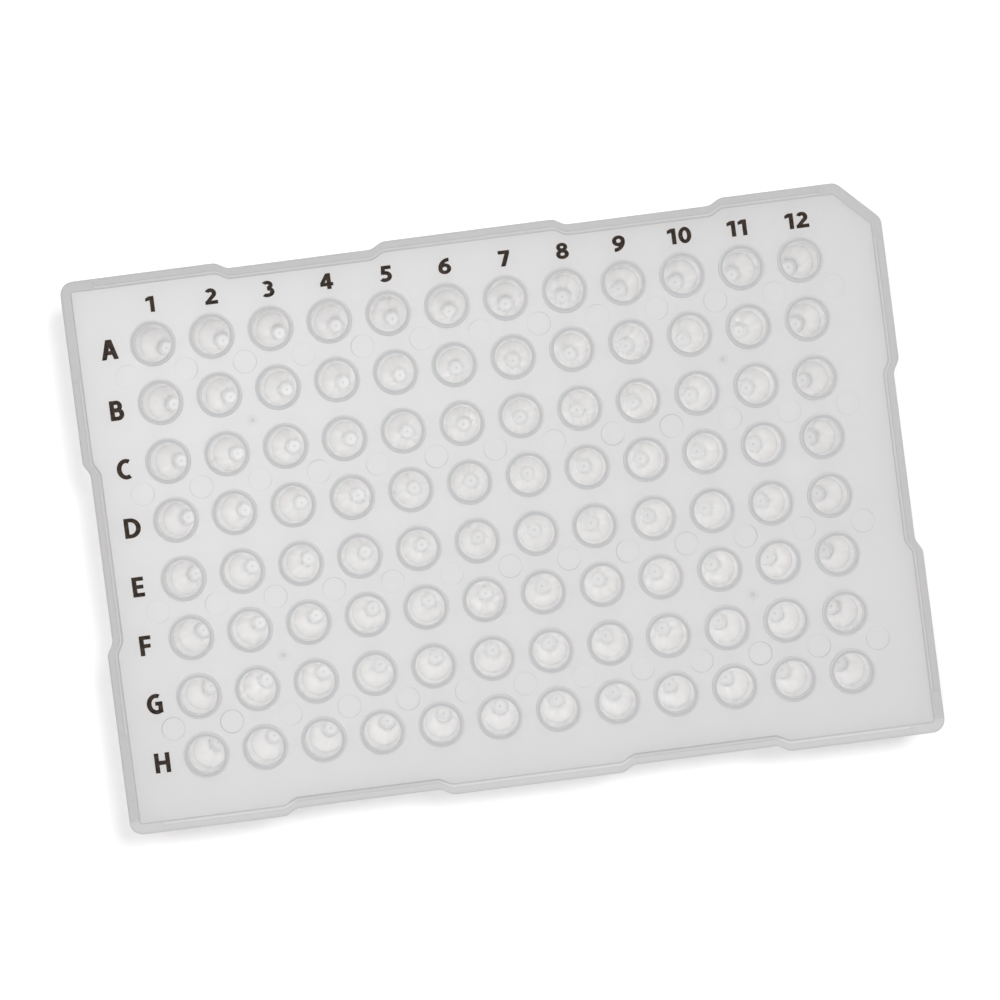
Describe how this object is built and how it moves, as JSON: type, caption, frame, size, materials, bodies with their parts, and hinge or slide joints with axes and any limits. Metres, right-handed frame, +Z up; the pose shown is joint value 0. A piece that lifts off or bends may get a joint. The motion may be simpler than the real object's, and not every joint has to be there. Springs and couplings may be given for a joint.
{
  "type": "well plate",
  "caption": "Flat rectangular reaction plate with round conical wells in a square grid, a half-depth skirt with grip recesses and one cut corner.",
  "frame": {"origin": "centre of the well array, on the plane that the well tips stand on", "axes": "+X from column 1 to column 12 along the long side, +Y from row H to row A, +Z up out of the wells"},
  "size_m": [0.1252, 0.0848, 0.0207],
  "materials": {
    "well_plate": "translucent natural polypropylene, satin"
  },
  "bodies": {
    "root": {"well_plate": "well_plate"}
  },
  "joints": []
}
